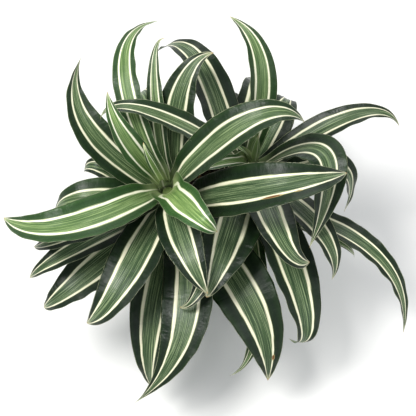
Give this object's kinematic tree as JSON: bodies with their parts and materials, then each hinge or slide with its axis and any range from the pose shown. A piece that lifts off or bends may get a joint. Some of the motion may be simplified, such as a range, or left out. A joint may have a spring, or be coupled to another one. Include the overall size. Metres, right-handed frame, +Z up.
{
  "type": "potted dracaena",
  "caption": "Striped dracaena with two crowns of arching strap leaves, growing in a plain tapered nursery pot of potting soil.",
  "frame": {"origin": "centre of the pot's underside, on the surface it stands on", "axes": "+Z up; the two crowns lean apart along X, left crown at -X; the viewer stands on the -Y side"},
  "size_m": [0.3822, 0.3378, 0.2785],
  "materials": {
    "pot_plastic": "matte",
    "soil": "matte",
    "cane": "matte",
    "leaf": "satin",
    "young_leaf": "satin"
  },
  "bodies": {
    "root": {"nursery_pot": "pot_plastic", "potting_soil": "soil", "left_cane": "cane", "right_cane": "cane", "left_leaf_01": "leaf", "left_leaf_02": "leaf", "left_leaf_03": "leaf", "left_leaf_04": "leaf", "left_leaf_05": "leaf", "left_leaf_06": "leaf", "left_leaf_07": "leaf", "left_leaf_08": "leaf", "left_leaf_09": "leaf", "left_leaf_10": "leaf", "left_leaf_11": "leaf", "left_leaf_12": "leaf", "left_leaf_13": "leaf", "left_leaf_14": "leaf", "left_leaf_15": "leaf", "left_leaf_16": "leaf", "left_leaf_17": "leaf", "left_leaf_18": "young_leaf", "left_leaf_19": "young_leaf", "left_leaf_20": "young_leaf", "left_leaf_21": "young_leaf", "left_leaf_22": "young_leaf", "right_leaf_01": "leaf", "right_leaf_02": "leaf", "right_leaf_03": "leaf", "right_leaf_04": "leaf", "right_leaf_05": "leaf", "right_leaf_06": "leaf", "right_leaf_07": "leaf", "right_leaf_08": "leaf", "right_leaf_09": "leaf", "right_leaf_10": "leaf", "right_leaf_11": "leaf", "right_leaf_12": "leaf", "right_leaf_13": "leaf", "right_leaf_14": "leaf", "right_leaf_15": "leaf", "right_leaf_16": "leaf", "right_leaf_17": "leaf", "right_leaf_18": "young_leaf", "right_leaf_19": "young_leaf", "right_leaf_20": "young_leaf", "right_leaf_21": "young_leaf"}
  },
  "joints": []
}
